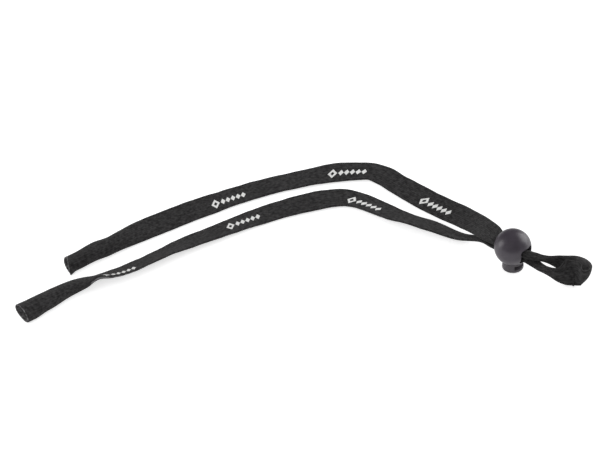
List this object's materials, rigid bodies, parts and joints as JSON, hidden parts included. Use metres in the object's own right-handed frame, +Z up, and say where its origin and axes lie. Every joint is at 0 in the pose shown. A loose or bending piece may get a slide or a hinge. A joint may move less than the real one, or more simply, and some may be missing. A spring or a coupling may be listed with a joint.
{
  "type": "eyeglass retainer strap",
  "caption": "Tubular webbing strap doubled through a ball-shaped spring cord lock, with open sleeve ends for glasses temples and a small loop behind the lock.",
  "frame": {"origin": "middle of the flat foot of the cord lock's button, which stands on the surface that the strap lies on", "axes": "+X along the temple sleeves from their mouths inwards, +Z up, +Y from the loop's side towards the sleeves' side"},
  "size_m": [0.2442, 0.1727, 0.0221],
  "materials": {
    "webbing": "black tubular polyester webbing with a fine ribbed weave, matt",
    "lock_plastic": "charcoal satin moulded plastic",
    "button_plastic": "charcoal satin moulded plastic",
    "spring_steel": "bright drawn spring wire"
  },
  "bodies": {
    "strap": {"temple_sleeve_1": "webbing", "temple_sleeve_2": "webbing", "strap_leg_1": "webbing", "strap_leg_2": "webbing", "strap_loop": "webbing"},
    "toggle": {"toggle_ball": "lock_plastic", "toggle_spring": "spring_steel"},
    "button": {"toggle_button": "button_plastic"}
  },
  "joints": [
    {"name": "toggle_slide", "type": "slide", "parent": "strap", "child": "toggle", "axis": [0.3173, -0.9483, 0], "range_m": [-0.04, 0.018], "deforming": ["strap_leg_1", "strap_leg_2", "strap_loop"]},
    {"name": "button_press", "type": "slide", "parent": "toggle", "child": "button", "axis": [0, 0, 1], "range_m": [0, 0.0018], "stiffness_N_per_m": 800, "springref_m": -0.0025, "deforming": ["toggle_spring"]}
  ]
}
